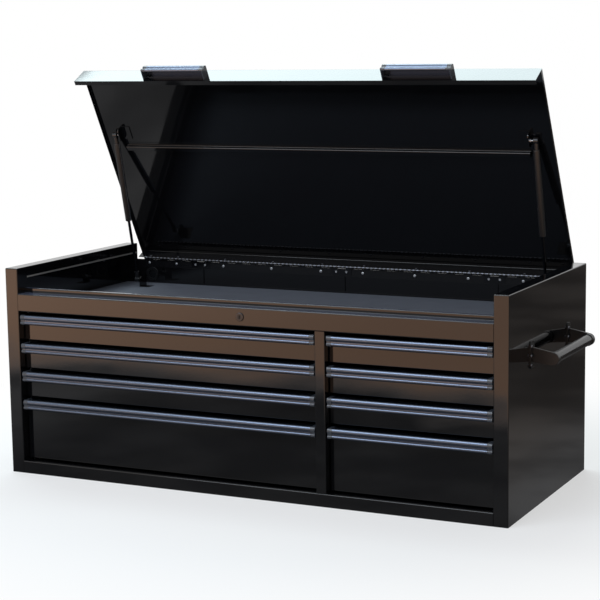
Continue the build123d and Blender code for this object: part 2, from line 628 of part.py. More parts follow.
# Drawers: a bank of three shallow ones over a deep one on each side of the centre post
slide_channels = []
for bank, (bank_left, bank_right) in (("left", LEFT_BANK), ("right", RIGHT_BANK)):
    top_z = OPENING_TOP - DRAWER_TOP_GAP
    pitches = [SHALLOW_DRAWER_PITCH] * SHALLOW_DRAWERS + [DEEP_DRAWER_PITCH]
    for number, pitch in enumerate(pitches, start=1):
        name = f"{bank}_drawer_{number}"
        is_lowest = number == len(pitches)
        foot_z = BOTTOM_RAIL_HEIGHT + DRAWER_FOOT_GAP if is_lowest else top_z - pitch + DRAWER_GAP
        front_top = top_z - PULL_WALL
        front_x = (bank_left + DRAWER_SIDE_GAP, bank_right - DRAWER_SIDE_GAP)
        tub_x = (bank_left + SLIDE_SPACE, bank_right - SLIDE_SPACE)
        tub_z = (foot_z + TUB_LIFT, front_top - TUB_SIDE_DROP)
        tub_y = (DRAWER_Y, DRAWER_Y + DRAWER_LENGTH)

        front = block(front_x, (DRAWER_Y, DRAWER_Y + FRONT_FOLD), (foot_z, front_top))
        front = fillet(front.faces().sort_by(Axis.Y)[0].edges(), FRONT_EDGE)
        inside_x = (front_x[0] + DRAWER_SHEET, front_x[1] - DRAWER_SHEET)
        inside_z = (foot_z + DRAWER_SHEET, front_top - DRAWER_SHEET)
        front -= block(inside_x, (DRAWER_Y + DRAWER_SHEET, BACK_Y), inside_z)
        box_walls = block(tub_x, tub_y, tub_z) - block(
            (tub_x[0] + DRAWER_SHEET, tub_x[1] - DRAWER_SHEET),
            (DRAWER_Y + DRAWER_SHEET, tub_y[1] - DRAWER_SHEET),
            (tub_z[0] + DRAWER_SHEET, CABINET_HEIGHT),
        )
        box_walls = box_walls & block(tub_x, (DRAWER_Y + DRAWER_SHEET, BACK_Y), (0, CABINET_HEIGHT))
        tub = front + box_walls

        middle_z = front_top - SLIDE_BELOW_FRONT_TOP
        rails, middles = [], []
        for wall_x, inward in ((bank_left, 1), (bank_right, -1)):
            far_x = wall_x + inward * (SLIDE_SPACE - SLIDE_EDGE)
            slide_channels.append(channel(wall_x, far_x, middle_z, SLIDE_HEIGHT, SLIDE_OUTER_SHEET))
            middle_x = wall_x + inward * middle_start
            middles.append(channel(middle_x, far_x, middle_z, middle_height, SLIDE_SHEET))
            drawer_x = wall_x + inward * SLIDE_SPACE
            member_x = wall_x + inward * member_start
            rails.append(channel(drawer_x, member_x, middle_z, member_height, SLIDE_SHEET))
        write(f"{name}_tub", tub, *rails)
        write(f"{name}_slides", *middles)
        pull_x = (bank_left + PULL_SIDE_GAP, bank_right - PULL_SIDE_GAP)
        write(f"{name}_pull", *pull(pull_x, DRAWER_Y, top_z, PULL_DEPTH, True))
        top_z -= pitch
write("slide_channels", *slide_channels)

# Lock: a ring and threaded body held by a nut, the plug that the key turns, its cam, and the bar it pushes
body_end = FRONT_Y + LOCK_BODY_LENGTH
ring_front = FRONT_Y - LOCK_RING_HEIGHT
ring = lock_rod(ring_front, FRONT_Y, LOCK_RING_RADIUS)
ring = fillet(ring.edges().filter_by(GeomType.CIRCLE).sort_by(Axis.Y)[:1], LOCK_RING_HEIGHT / 2)
body = lock_rod(FRONT_Y, body_end, LOCK_BODY_RADIUS)
plug_room = lock_rod(ring_front - SHEET, body_end + SHEET, LOCK_PLUG_RADIUS + LOCK_FIT)
nut_y = (FRONT_Y + SHEET, FRONT_Y + SHEET + LOCK_NUT_HEIGHT)
nut_plane = Plane(origin=(0, nut_y[0], LOCK_Z), x_dir=(1, 0, 0), z_dir=(0, 1, 0))
nut = extrude(nut_plane * RegularPolygon(LOCK_NUT_RADIUS, 6), amount=LOCK_NUT_HEIGHT, dir=(0, 1, 0))
nut -= lock_rod(nut_y[0] - SHEET, nut_y[1] + SHEET, LOCK_BODY_RADIUS)
write("lock_housing", ring + body - plug_room, nut)

cam_y = (body_end + SOFT_GAP, body_end + SOFT_GAP + CAM_THICKNESS)
plug = lock_rod(ring_front, cam_y[0], LOCK_PLUG_RADIUS)
key_slot = block(
    (-KEY_SLOT_WIDTH / 2, KEY_SLOT_WIDTH / 2),
    (ring_front - SHEET, ring_front + KEY_SLOT_DEPTH),
    (LOCK_Z - KEY_SLOT_HEIGHT / 2, LOCK_Z + KEY_SLOT_HEIGHT / 2),
)
write("lock_plug", plug - key_slot)

bar_y = (cam_y[1] + SOFT_GAP, cam_y[1] + SOFT_GAP + BAR_THICKNESS)
pin_swing = radians(CAM_START_ANGLE)
pin_x, pin_z = CAM_RADIUS * sin(pin_swing), LOCK_Z - CAM_RADIUS * cos(pin_swing)
cam = lock_rod(*cam_y, LOCK_PLUG_RADIUS)
arm = Pos(0, sum(cam_y) / 2, LOCK_Z - CAM_RADIUS / 2) * Box(CAM_WIDTH, CAM_THICKNESS, CAM_RADIUS)
arm += rod((0, cam_y[0], LOCK_Z - CAM_RADIUS), (0, cam_y[1], LOCK_Z - CAM_RADIUS), CAM_WIDTH / 2)
cam += arm.rotate(Axis((0, 0, LOCK_Z), (0, 1, 0)), -CAM_START_ANGLE)
cam += rod((pin_x, cam_y[1], pin_z), (pin_x, bar_y[1], pin_z), CAM_PIN_RADIUS)
write("lock_cam", cam)

bar_foot = OPENING_TOP + SHEET + SOFT_GAP
bar_z = (bar_foot, bar_foot + BAR_HEIGHT)
bar = block((pin_x - BAR_END_MARGIN, LEFT_BANK[1]), bar_y, bar_z)
slot_half = CAM_PIN_RADIUS + CAM_PIN_SLACK
slot_z = (LOCK_Z - CAM_RADIUS - slot_half, pin_z + slot_half)
bar -= block((pin_x - slot_half, pin_x + slot_half), (bar_y[0] - SHEET, bar_y[1] + SHEET), slot_z)
write("lock_bar", bar)

# Gas springs, drawn upright from the lower ball and then leaned to the lid's open place
shut_y, shut_z = FRONT_Y + STRUT_LID_SETBACK - HINGE_Y, CABINET_HEIGHT - STRUT_LID_DROP - HINGE_Z
swing = radians(-LID_OPEN_ANGLE)
open_y = HINGE_Y + shut_y * cos(swing) - shut_z * sin(swing)
open_z = HINGE_Z + shut_y * sin(swing) + shut_z * cos(swing)
open_length = hypot(open_y - strut_low[0], open_z - strut_low[1])
shut_length = hypot(shut_y + HINGE_Y - strut_low[0], shut_z + HINGE_Z - strut_low[1])
lean = degrees(atan2(strut_low[0] - open_y, open_z - strut_low[1]))
shut_lean = degrees(atan2(strut_low[0] - shut_y - HINGE_Y, shut_z + HINGE_Z - strut_low[1]))

cylinder_top = open_length - SOCKET_RADIUS - SOCKET_SHANK
cylinder_foot = cylinder_top - CYLINDER_LENGTH
bore_radius = CYLINDER_RADIUS - CYLINDER_WALL


def socket(height, toward):
    """End fitting round a ball at a height up the strut, open towards its stud, with a shank up or down."""
    round_end = rod((-SOCKET_WIDTH / 2, 0, height), (SOCKET_WIDTH / 2, 0, height), SOCKET_RADIUS)
    shank = rod((0, 0, height), (0, 0, height + toward * (SOCKET_RADIUS + SOCKET_SHANK)), SOCKET_SHANK_RADIUS)
    return round_end + shank


def ball_room(height, inboard):
    """Room for a ball and its neck inside an end fitting."""
    neck = rod((0, 0, height), (inboard * STUD_REACH, 0, height), BALL_NECK_RADIUS + BALL_FIT)
    return Pos(0, 0, height) * Sphere(BALL_RADIUS + BALL_FIT) + neck


def stud(height, inboard, end):
    """Ball stud that reaches from the ball to a bracket plate, with a collar at its foot."""
    neck = rod((0, 0, height), (inboard * end, 0, height), BALL_NECK_RADIUS)
    collar = rod((inboard * (end - STUD_COLLAR), 0, height), (inboard * end, 0, height), STUD_COLLAR_RADIUS)
    return Pos(0, 0, height) * Sphere(BALL_RADIUS) + neck + collar


for side_name, side in (("left", -1), ("right", 1)):
    inboard = -side
    place = Pos(side * STRUT_X, *strut_low) * Rot(X=lean)
    tube = rod((0, 0, cylinder_foot), (0, 0, cylinder_top), CYLINDER_RADIUS)
    tube = fillet(tube.edges().filter_by(GeomType.CIRCLE), CYLINDER_WALL)
    tube -= rod((0, 0, cylinder_foot + CYLINDER_END), (0, 0, cylinder_top - CYLINDER_END), bore_radius)
    tube -= rod((0, 0, cylinder_foot - SHEET), (0, 0, cylinder_foot + 2 * CYLINDER_END), ROD_RADIUS + PIN_FIT)
    upper = socket(open_length, -1) - ball_room(open_length, inboard)
    upper_stud = stud(open_length, inboard, STUD_REACH - SOFT_GAP)
    write(f"{side_name}_strut_cylinder", place * (tube + upper), place * upper_stud)

    piston_top = cylinder_foot + ROD_INSIDE
    shaft = rod((0, 0, SOCKET_RADIUS), (0, 0, piston_top), ROD_RADIUS)
    shaft += rod((0, 0, piston_top - PISTON_LENGTH), (0, 0, piston_top), bore_radius - PIN_FIT)
    lower = socket(0, 1)
    write(f"{side_name}_strut_rod", place * (shaft + lower - ball_room(0, inboard)))

# Brackets: an angle with a rounded plate, its foot on the till floor or on the lid's skin
low_brackets, lid_brackets = [], []
for side in (-1, 1):
    plate_x = (side * bracket_plate_x, side * (bracket_plate_x - BRACKET_SHEET))
    foot_x = (side * bracket_plate_x, side * (bracket_plate_x - BRACKET_FOOT))
    y, z = strut_low
    span_y = (y - BRACKET_HALF_WIDTH, y + BRACKET_HALF_WIDTH)
    low = block(plate_x, span_y, (TRAY_TOP, z + BRACKET_EDGE))
    low += block(foot_x, span_y, (TRAY_TOP, TRAY_TOP + BRACKET_SHEET))
    low = fillet(low.edges().filter_by(Axis.X).sort_by(Axis.Z)[-2:], BRACKET_EDGE)
    place = Pos(side * STRUT_X, y, z)
    low_brackets += [low, place * stud(0, -side, STUD_REACH)]

    y, z = FRONT_Y + STRUT_LID_SETBACK, CABINET_HEIGHT - STRUT_LID_DROP
    skin = CABINET_HEIGHT - SHEET
    span_y = (y - LID_BRACKET_REACH, y + BRACKET_HALF_WIDTH)
    high = block(plate_x, span_y, (z - BRACKET_EDGE, skin))
    high += block(foot_x, span_y, (skin - BRACKET_SHEET, skin))
    high = fillet(high.edges().filter_by(Axis.X).sort_by(Axis.Z)[:2], BRACKET_EDGE)
    lid_brackets.append(opened(high))
write("strut_brackets_cabinet", *low_brackets)
write("strut_brackets_lid", *lid_brackets)

# End handles: two arms with base plates bolted to the wall, and a round grip between their cups


def grip_rod(start_y, end_y, radius):
    """A round bar on the right-hand grip's axis."""
    return rod((grip_x, start_y, GRIP_HEIGHT), (grip_x, end_y, GRIP_HEIGHT), radius)


brackets, bolts, grips = [], [], []
grip_y = (FRONT_Y + GRIP_FRONT_SETBACK, FRONT_Y + GRIP_FRONT_SETBACK + GRIP_SPACING)
grip_x = WALL_X + GRIP_REACH
for arm_y, outward in zip(grip_y, (-1, 1)):
    arm_outline = [
        (WALL_X, ARM_BOTTOM),
        (grip_x, GRIP_HEIGHT - ARM_TIP_RADIUS),
        (grip_x, GRIP_HEIGHT + ARM_TIP_RADIUS),
        (WALL_X, ARM_TOP),
    ]
    arm = prism(arm_outline, ALONG, -arm_y - ARM_THICKNESS / 2, -arm_y + ARM_THICKNESS / 2)
    cup_end = arm_y + outward * ARM_THICKNESS / 2
    cup_mouth = cup_end - outward * CUP_LENGTH
    cup = grip_rod(cup_end, cup_mouth, ARM_TIP_RADIUS)
    cup = fillet(cup.edges().filter_by(GeomType.CIRCLE), BASE_THICKNESS / 2)
    base = block(
        (WALL_X, WALL_X + BASE_THICKNESS),
        (arm_y + ARM_THICKNESS / 2 + BASE_OVERHANG - BASE_WIDTH, arm_y + ARM_THICKNESS / 2 + BASE_OVERHANG),
        (BASE_BOTTOM, BASE_TOP),
    )
    base = fillet(base.edges().filter_by(Axis.X), BASE_CORNER)
    bracket = arm + cup + base
    bracket -= grip_rod(cup_end - outward * ARM_THICKNESS, cup_mouth - outward * SHEET, GRIP_RADIUS)
    brackets += [bracket, mirrored(bracket)]
    for bolt_z in BOLT_HEIGHTS:
        start = (WALL_X + BASE_THICKNESS, arm_y - BOLT_SETBACK, bolt_z)
        end = (WALL_X + BASE_THICKNESS + BOLT_HEAD_HEIGHT, arm_y - BOLT_SETBACK, bolt_z)
        head = rod(start, end, BOLT_HEAD_RADIUS)
        head = fillet(head.edges().filter_by(GeomType.CIRCLE).sort_by(Axis.X)[-1:], BOLT_HEAD_HEIGHT / 2)
        bolts += [head, mirrored(head)]
seat_reach = ARM_THICKNESS / 2
grip_ends = (grip_y[0] + seat_reach, grip_y[1] - seat_reach)
grip = grip_rod(*grip_ends, GRIP_RADIUS)
grip -= grip_rod(grip_ends[0] + GRIP_END_CAP, grip_ends[1] - GRIP_END_CAP, GRIP_RADIUS - GRIP_WALL)
write("side_handle_brackets", *brackets)
write("side_handle_grips", grip, mirrored(grip))
write("side_handle_bolts", *bolts)

print(f"chest {CABINET_WIDTH:.1f} wide, {CABINET_DEPTH:.1f} deep, {CABINET_HEIGHT:.1f} high")
print(f"hinge axis at y {HINGE_Y:.3f}, z {HINGE_Z:.3f}")
print(f"strut foot at y {strut_low[0]:.3f}, z {strut_low[1]:.3f}")
print(f"strut leans {lean:.4f} open and {shut_lean:.4f} shut")
print(f"strut length {open_length:.4f} open, {shut_length:.4f} shut")
print(f"lock axis at z {LOCK_Z:.3f}, cam pin moves {-2 * pin_x:.4f} across")
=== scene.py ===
from math import cos, pi, radians, sin

import bmesh
import bpy
import numpy as np
from mathutils import Matrix, Vector


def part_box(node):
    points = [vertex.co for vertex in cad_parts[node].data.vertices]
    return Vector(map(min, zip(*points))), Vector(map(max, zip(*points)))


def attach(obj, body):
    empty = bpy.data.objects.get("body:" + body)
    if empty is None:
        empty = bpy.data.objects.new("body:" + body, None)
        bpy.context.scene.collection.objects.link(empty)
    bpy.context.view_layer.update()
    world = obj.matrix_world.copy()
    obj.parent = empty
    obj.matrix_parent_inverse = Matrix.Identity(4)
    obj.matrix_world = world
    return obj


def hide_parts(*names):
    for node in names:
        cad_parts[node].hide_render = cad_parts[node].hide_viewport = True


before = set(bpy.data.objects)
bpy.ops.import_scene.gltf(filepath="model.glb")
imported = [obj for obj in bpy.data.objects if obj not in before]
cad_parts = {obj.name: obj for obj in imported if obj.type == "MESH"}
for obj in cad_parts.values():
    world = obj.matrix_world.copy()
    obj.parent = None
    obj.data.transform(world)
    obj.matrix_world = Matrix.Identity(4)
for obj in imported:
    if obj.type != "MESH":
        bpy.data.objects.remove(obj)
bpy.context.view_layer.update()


# Cabinet: side panels, back, bottom, rails, posts and till floor are folded steel sheet, welded up and then
# coated inside and out with one gloss black enamel. The thin coat follows every bend and gives sharp,
# slightly wavy reflections, because the sheets bow a little between their folds.
ENAMEL_BLACK = "#09090b"
ENAMEL_IOR = 1.5
ENAMEL_ROUGHNESS = (0.045, 0.085)
SMUDGE = 0.09
SMUDGE_NOISE = (0.35, 0.7)  # where the noise leaves the coat clean, and where it is smudged most
PEEL_CELL = 0.007  # real orange peel is 1 to 3 mm: drawn coarser, so that it shows
PEEL_DEPTH = 0.000012
BOW_LENGTH = 0.18
BOW_DEPTH = 0.0005
# Faces that look up turn blue-grey: partly real dust, partly a painted sheen of the pale sky they reflect.
DUST_AND_SHEEN = "#aab4d6"
DUST_AND_SHEEN_TILT = 0.7  # dust stays where the upward part of a face's normal is more than this
LEDGE_DUST_AND_SHEEN = 0.13
ZINC = "#b6b9be"
ZINC_ROUGHNESS = 0.34


def linear(colour):
    """The linear colour of an sRGB hex value, with full alpha."""
    parts = np.array([int(colour[i : i + 2], 16) for i in (1, 3, 5)]) / 255
    parts = np.where(parts <= 0.04045, parts / 12.92, ((parts + 0.055) / 1.055) ** 2.4)
    return (*parts.tolist(), 1.0)


def feed(finish, node, inputs):
    """Gives each named or numbered input of a node a number or a colour, or links it to a node's output."""
    for place, value in inputs.items():
        if isinstance(value, bpy.types.NodeSocket):
            finish.node_tree.links.new(value, node.inputs[place])
        else:
            node.inputs[place].default_value = value


def add_node(finish, kind, *values, out=0, inputs=None, **settings):
    """Adds a shader node and gives one of its outputs. The values go to its first inputs, in order."""
    node = finish.node_tree.nodes.new("ShaderNode" + kind)
    for name, value in settings.items():
        setattr(node, name, value)
    feed(finish, node, {**dict(enumerate(values)), **(inputs or {})})
    return node.outputs[out]


def shade(finish, inputs):
    """Feeds inputs of a material's Principled shader."""
    feed(finish, finish.node_tree.nodes["Principled BSDF"], inputs)


def new_finish(name, inputs):
    """A material of one Principled shader with these inputs."""
    finish = bpy.data.materials.new(name)
    finish.use_nodes = True
    shade(finish, inputs)
    return finish


def coordinate(finish, axis):
    """One object coordinate of the shaded point."""
    place = add_node(finish, "TexCoord", out="Object")
    return add_node(finish, "SeparateXYZ", place, out=axis)


def beyond(finish, axis, centre, half, mirrored=False):
    """1 where a coordinate is further than half from the centre, or from either of two mirrored centres."""
    along = coordinate(finish, axis)
    if mirrored:
        along = add_node(finish, "Math", along, operation="ABSOLUTE")
    offset = add_node(finish, "Math", along, centre, operation="SUBTRACT")
    distance = add_node(finish, "Math", offset, operation="ABSOLUTE")
    return add_node(finish, "Math", distance, half, operation="GREATER_THAN")


def enamel(name, plated=None, dust_and_sheen=0.0):
    """Gloss enamel over folded sheet. plated takes the material and gives the mask of its zinc-plated
    parts, and the last argument is how much of each face that looks up turns blue-grey: real dust, and a
    painted sheen of the pale sky that such faces reflect."""
    finish = new_finish(name, {"Base Color": linear(ENAMEL_BLACK), "IOR": ENAMEL_IOR})
    place = add_node(finish, "TexCoord", out="Object")
    bow = add_node(finish, "TexNoise", inputs={"Vector": place, "Scale": 1 / BOW_LENGTH, "Detail": 0.0})
    peel = add_node(finish, "TexNoise", inputs={"Vector": place, "Scale": 1 / PEEL_CELL, "Detail": 1.0})
    bowed = add_node(finish, "Bump", inputs={"Height": bow, "Distance": BOW_DEPTH})
    peeled = add_node(finish, "Bump", inputs={"Height": peel, "Distance": PEEL_DEPTH, "Normal": bowed})
    smudge = add_node(finish, "TexNoise", inputs={"Vector": place, "Scale": 1 / SMUDGE, "Detail": 3.0})
    rough = add_node(finish, "MapRange", smudge, *SMUDGE_NOISE, *ENAMEL_ROUGHNESS)
    if plated:
        mask = plated(finish)
        colour = add_node(finish, "MixRGB", mask, linear(ENAMEL_BLACK), linear(ZINC))
        rough = add_node(finish, "MapRange", mask, 0.0, 1.0, rough, ZINC_ROUGHNESS)
        shade(finish, {"Base Color": colour, "Metallic": mask})
    # Faces that look up turn blue-grey: real dust and a painted sky sheen.
    if dust_and_sheen:
        normal = add_node(finish, "NewGeometry", out="Normal")
        upward = add_node(finish, "SeparateXYZ", normal, out="Z")
        cover = add_node(finish, "MapRange", upward, DUST_AND_SHEEN_TILT, 1.0, 0.0, dust_and_sheen)
        patches = add_node(finish, "Math", smudge, 0.5, operation="ADD")
        cover = add_node(finish, "Math", cover, patches, operation="MULTIPLY")
        colour = add_node(finish, "MixRGB", cover, linear(ENAMEL_BLACK), linear(DUST_AND_SHEEN))
        shade(finish, {"Base Color": colour})
    shade(finish, {"Roughness": rough, "Normal": peeled})
    return finish


def dress(finish, *names):
    """Gives CAD nodes a material."""
    for name in names:
        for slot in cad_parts[name].material_slots:
            slot.material = finish


gloss_enamel = enamel("gloss_black_enamel")
dress(gloss_enamel, "left_side_panel", "right_side_panel", "back_panel", "bottom_panel", "back_braces")
dress(gloss_enamel, "front_bottom_rail", "centre_post", "centre_divider", "till_tray")
dress(enamel("gloss_black_enamel_with_dust", dust_and_sheen=LEDGE_DUST_AND_SHEEN), "front_top_rail")


# Till mat: one sheet of closed-cell foam, cut to the till floor with a notch round each gas spring bracket,
# and laid loose. Its skin is matt and faintly pebbled, and it never lies perfectly flat.
MAT_THICKNESS = 0.0026
MAT_LIFT = 0.00015
MAT_SWELL = (0.16, 0.208)
MAT_EDGE = 0.0006
MAT_CELL = 0.02
MAT_GREY = ("#4e5159", "#595d66")
MAT_TONE = 0.05
FOAM_ROUGHNESS = 0.82
FOAM_IOR = 1.45
PEBBLE = 0.0016
PEBBLE_DEPTH = 0.0002
NOTCH_X = (0.581, 0.613)
NOTCH_GAP = 0.001
WELD = 0.00001


def grid_faces(rows, columns, closed=False):
    """Quads of a grid of points in rows, their order anticlockwise where rows run along X and columns along
    Y. A closed grid joins its last column to its first."""
    row, column = np.meshgrid(np.arange(rows - 1), np.arange(columns - (not closed)), indexing="ij")
    after = (column + 1) % columns
    near, far = row * columns, (row + 1) * columns
    return np.stack((near + column, far + column, far + after, near + after), axis=-1).reshape(-1, 4)


def new_piece(name, points, faces, finish, body):
    """A mesh from an array of points and an array of faces, with a material, riding on a body. Points that
    lie within WELD of each other, as on the tiny ring at a pole, become one."""
    mesh = bpy.data.meshes.new(name)
    mesh.from_pydata(points.reshape(-1, 3).tolist(), [], faces.tolist())
    shell = bmesh.new()
    shell.from_mesh(mesh)
    bmesh.ops.remove_doubles(shell, verts=shell.verts, dist=WELD)
    shell.to_mesh(mesh)
    shell.free()
    mesh.validate()
    mesh.materials.append(finish)
    piece = bpy.data.objects.new(name, mesh)
    bpy.context.scene.collection.objects.link(piece)
    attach(piece, body)
    return piece


def lines_between(start, end, extra):
    """Grid lines about MAT_CELL apart from start to end, with the extra ones among them."""
    even = np.linspace(start, end, max(2, round((end - start) / MAT_CELL) + 1))
    return np.unique(np.round(np.concatenate([even, extra]), 6))


def mat(name, low, high, floor_z, body, notches=()):
    """A sheet of foam between two corners, less its notches. Its upper face rises and falls as the product
    of a sine along X and a sine along Y, and Solidify hangs its thickness below that face."""
    x_lines = lines_between(low[0], high[0], [x for notch in notches for x in notch[0]])
    y_lines = lines_between(low[1], high[1], [y for notch in notches for y in notch[1]])
    x, y = np.meshgrid(x_lines, y_lines, indexing="ij")
    swell = np.sin(2 * pi * x / MAT_SWELL[0]) * np.sin(2 * pi * y / MAT_SWELL[1])
    points = np.stack([x, y, floor_z + MAT_THICKNESS + MAT_LIFT * (1 + swell)], axis=-1).reshape(-1, 3)
    faces = grid_faces(*x.shape)
    middle = points[faces].mean(axis=1)
    area = (high[0] - low[0]) * (high[1] - low[1])
    for (x0, x1), (y0, y1) in notches:
        inside = (middle[:, 0] > x0) & (middle[:, 0] < x1) & (middle[:, 1] > y0) & (middle[:, 1] < y1)
        faces, middle = faces[~inside], middle[~inside]
        area -= (x1 - x0) * (y1 - y0)
    used, index = np.unique(faces, return_inverse=True)
    piece = new_piece(name, points[used], index.reshape(-1, 4), foam, body)
    wall = piece.modifiers.new("thickness", "SOLIDIFY")
    wall.thickness = MAT_THICKNESS
    wall.offset = -1
    rim = piece.modifiers.new("rim", "BEVEL")
    rim.width = MAT_EDGE
    rim.segments = 2
    return piece, (high[0] - low[0], high[1] - low[1]), area


foam = new_finish("closed_cell_foam", {"Roughness": FOAM_ROUGHNESS, "IOR": FOAM_IOR})
foam_place = add_node(foam, "TexCoord", out="Object")
pebble_inputs = {"Vector": foam_place, "Scale": 1 / PEBBLE}
pebble = add_node(foam, "TexVoronoi", inputs=pebble_inputs, feature="SMOOTH_F1")
tone = add_node(foam, "TexNoise", inputs={"Vector": foam_place, "Scale": 1 / MAT_TONE, "Detail": 4.0})
foam_colour = add_node(foam, "MixRGB", tone, linear(MAT_GREY[0]), linear(MAT_GREY[1]))
foam_bump = add_node(foam, "Bump", inputs={"Height": pebble, "Distance": PEBBLE_DEPTH}, invert=True)
shade(foam, {"Base Color": foam_colour, "Normal": foam_bump})

liner_low, liner_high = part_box("till_liner")
foot_low, foot_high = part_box("strut_brackets_cabinet")
notch_y = (foot_low.y - NOTCH_GAP, foot_high.y + NOTCH_GAP)
notches = [((-NOTCH_X[1], -NOTCH_X[0]), notch_y), (NOTCH_X, notch_y)]
till_mat, till_size, till_area = mat("till_mat", liner_low, liner_high, liner_low.z, "cabinet", notches)
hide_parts("till_liner")


# Lip edges: a rounded bead along the lower edge of each side panel's inner lip. Its pale grey is a painted
# highlight: the one thin light line that the edge catches along the dark panel.
EDGE_RADIUS = 0.0014
EDGE_DROP = 0.0035
EDGE_TURN = (-245, 65)
EDGE_POINTS = 17
END_SHARE = 0.0005  # a closed end shrinks to this share of its outline, and new_piece welds it
LIP_HALF = 0.0006
LIP_FOOT_Z = 0.535
LIP_INSET = 0.0374
LIP_ENDS = (-0.2636, 0.3072)
EDGE_HIGHLIGHT_GREY = "#7d7a77"
EDGE_BEAD_ROUGHNESS = 0.5
EDGE_BEAD_GRAIN = (0.0015, 0.00004)


def grain(finish, cell, depth, detail=2.0):
    """Bumps the surface with noise. Its cell and depth are in metres."""
    place = add_node(finish, "TexCoord", out="Object")
    noise = add_node(finish, "TexNoise", inputs={"Vector": place, "Scale": 1 / cell, "Detail": detail})
    shade(finish, {"Normal": add_node(finish, "Bump", inputs={"Height": noise, "Distance": depth})})


def lip_edge(side):
    """Points of one strip: an arc below and two corners above it, carried along Y and shrunk to a point at
    each end."""
    turn = np.linspace(radians(EDGE_TURN[0]), radians(EDGE_TURN[1]), EDGE_POINTS)
    across = np.concatenate([EDGE_RADIUS * np.cos(turn), [LIP_HALF, -LIP_HALF]])
    height = np.concatenate([EDGE_RADIUS * np.sin(turn), [EDGE_DROP, EDGE_DROP]])
    shrink = np.array([END_SHARE, 1.0, 1.0, END_SHARE])[:, None]
    y = np.repeat([LIP_ENDS[0], LIP_ENDS[0], LIP_ENDS[1], LIP_ENDS[1]], across.size).reshape(4, -1)
    x = side * (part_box("right_side_panel")[1].x - LIP_INSET + shrink * across)
    return np.stack([x, y, LIP_FOOT_Z - EDGE_DROP + shrink * height], axis=-1)


# Painted highlight: the bead's pale grey stands for the light caught by the lip's edge.
edge_highlight_bead = new_finish("grey_vinyl", {"Base Color": linear(EDGE_HIGHLIGHT_GREY), "Roughness": EDGE_BEAD_ROUGHNESS})
grain(edge_highlight_bead, *EDGE_BEAD_GRAIN)
edge_points = np.stack([lip_edge(-1), lip_edge(1)])
edge_faces = grid_faces(*edge_points.shape[1:3], closed=True)
edge_faces = np.concatenate([edge_faces[:, ::-1], edge_faces + edge_points[0, ..., 0].size])
lip_edges = new_piece("side_lip_edges", edge_points, edge_faces, edge_highlight_bead, "cabinet")
lip_edges.data.shade_smooth()
lip_edges.data.set_sharp_from_angle(angle=radians(50))


# Lid: one folded sheet with a deep front flange and shallow side lips, and a hat channel spot-welded across
# its inside so that it doesn't drum. Both wear the cabinet's enamel.
dress(gloss_enamel, "lid_shell", "lid_stiffener", "strut_brackets_lid")


# Piano hinge: two strip leaves with rolled knuckles on one long pin. The leaves are black electrocoat. Along
# the knuckles, dashes of dark zinc alternate with the black: the black gaps are the joints between knuckles,
# and the zinc dashes are a painted highlight for the glint on each knuckle's turn, which draws a dotted
# line.
# The lid's rivets are black zinc, and the pin, the lower rivets and the screws are bright zinc.
ECOAT_BLACK = "#0c0c0e"
ECOAT_ROUGHNESS = 0.2
ECOAT_IOR = 1.5
KNUCKLE_REACH = 0.0043
TURN = 0.0063  # real joints between knuckles are 0.4 mm wide: drawn as broad as the turns, to show
BLACK_ZINC = "#4c4d52"
BLACK_ZINC_ROUGHNESS = 0.3
BLACK_ZINC_GRAIN = (0.002, 0.00003)
KNUCKLE_GLINT_ZINC = "#55565c"
SPANGLE = 0.0015
SPANGLE_ROUGHNESS = 0.07


def from_line(finish, y, z):
    """The shaded point's distance from a line along X: the root of the sum of two squares."""
    aside = add_node(finish, "Math", coordinate(finish, "Y"), y, operation="SUBTRACT")
    above = add_node(finish, "Math", coordinate(finish, "Z"), z, operation="SUBTRACT")
    squares = [add_node(finish, "Math", step, step, operation="MULTIPLY") for step in (aside, above)]
    return add_node(finish, "Math", add_node(finish, "Math", *squares, operation="ADD"), operation="SQRT")


black_zinc = new_finish(
    "black_passivated_zinc",
    {"Base Color": linear(BLACK_ZINC), "Metallic": 1.0, "Roughness": BLACK_ZINC_ROUGHNESS},
)
grain(black_zinc, *BLACK_ZINC_GRAIN)
dress(black_zinc, "hinge_rivets_lid")

hinge_finish = new_finish("electrocoat_worn_on_the_knuckles", {"IOR": ECOAT_IOR})
hinge_low, hinge_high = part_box("hinge_pin")
hinge_axis = (hinge_low + hinge_high) / 2
from_pin = from_line(hinge_finish, hinge_axis.y, hinge_axis.z)
is_knuckle = add_node(hinge_finish, "Math", from_pin, KNUCKLE_REACH, operation="LESS_THAN")
along_hinge = add_node(hinge_finish, "Math", coordinate(hinge_finish, "X"), TURN, operation="PINGPONG")
is_turn = add_node(hinge_finish, "Math", along_hinge, TURN / 2, operation="GREATER_THAN")
# Painted highlight: bare zinc dashes on the knuckle turns stand in for their glints.
is_glint_dash = add_node(hinge_finish, "Math", is_knuckle, is_turn, operation="MULTIPLY")
hinge_colour = add_node(hinge_finish, "MixRGB", is_glint_dash, linear(ECOAT_BLACK), linear(KNUCKLE_GLINT_ZINC))
hinge_rough = add_node(hinge_finish, "MapRange", is_glint_dash, 0.0, 1.0, ECOAT_ROUGHNESS, BLACK_ZINC_ROUGHNESS)
shade(hinge_finish, {"Base Color": hinge_colour, "Metallic": is_glint_dash, "Roughness": hinge_rough})
dress(hinge_finish, "hinge_leaf_cabinet", "hinge_leaf_lid")

